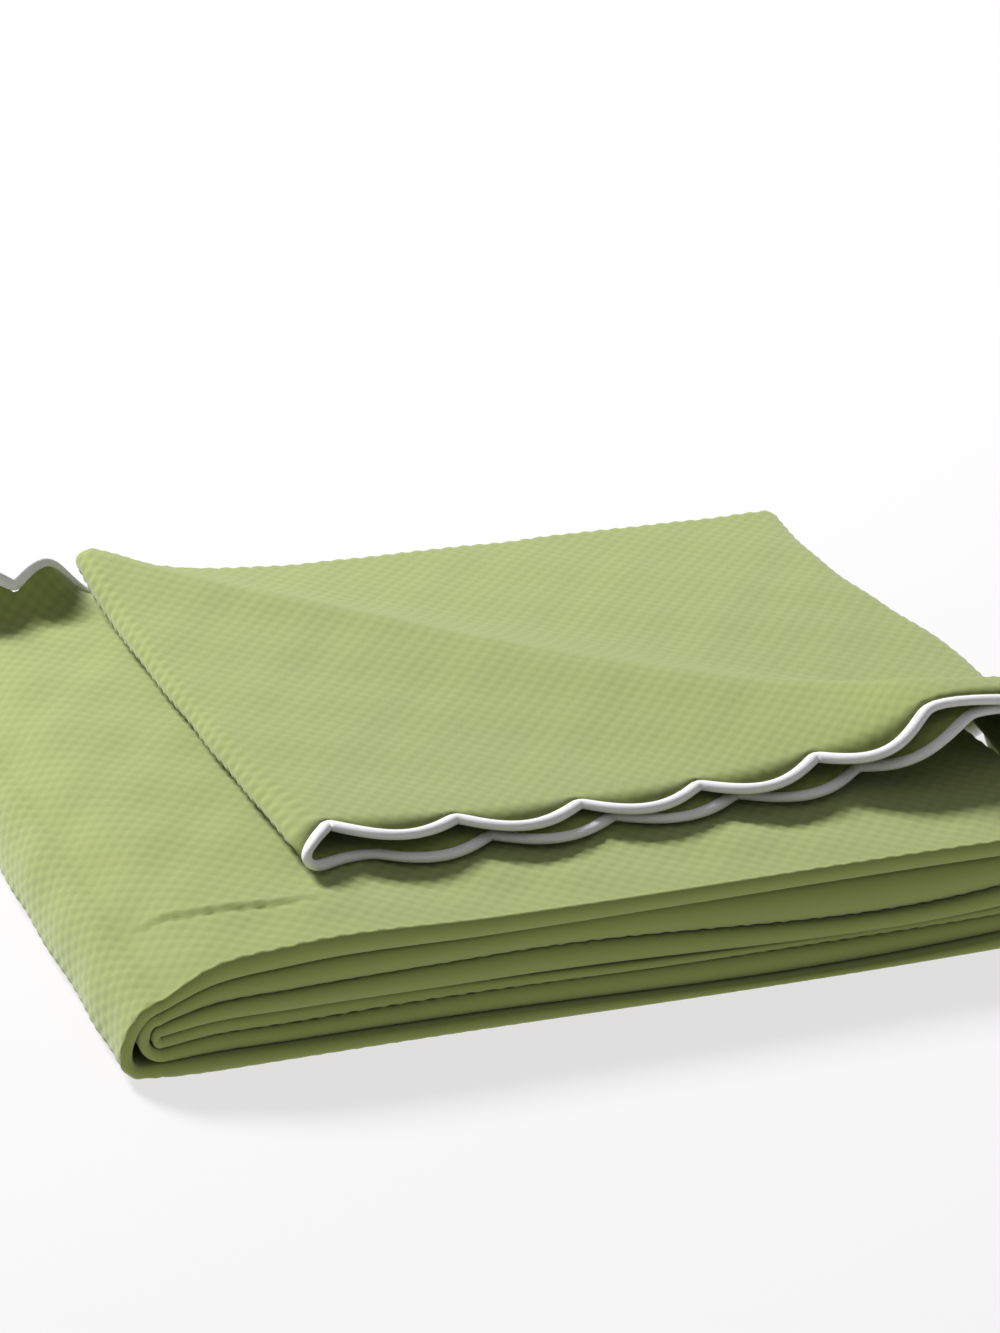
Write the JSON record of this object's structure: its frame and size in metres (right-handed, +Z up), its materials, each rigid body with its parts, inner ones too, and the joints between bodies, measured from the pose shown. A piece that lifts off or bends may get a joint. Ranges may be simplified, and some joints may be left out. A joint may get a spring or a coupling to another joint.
{
  "type": "matelasse coverlet",
  "caption": "Folded woven coverlet in green puckered cotton, its scalloped hem edged with white piping, one end turned over on top of the pack.",
  "frame": {"origin": "middle of the whole object's box, on the surface that the folded pack rests on", "axes": "+X along the front edge to the right, +Y from the folded front edge to the back, +Z up"},
  "size_m": [0.4254, 0.409, 0.0766],
  "materials": {
    "green_cloth": "matt woven cotton with small raised diamonds",
    "white_piping": "matt woven cotton over a cord"
  },
  "bodies": {
    "root": {"coverlet": "green_cloth", "flap_hem_piping": "white_piping", "back_hem_piping": "white_piping"}
  },
  "joints": []
}
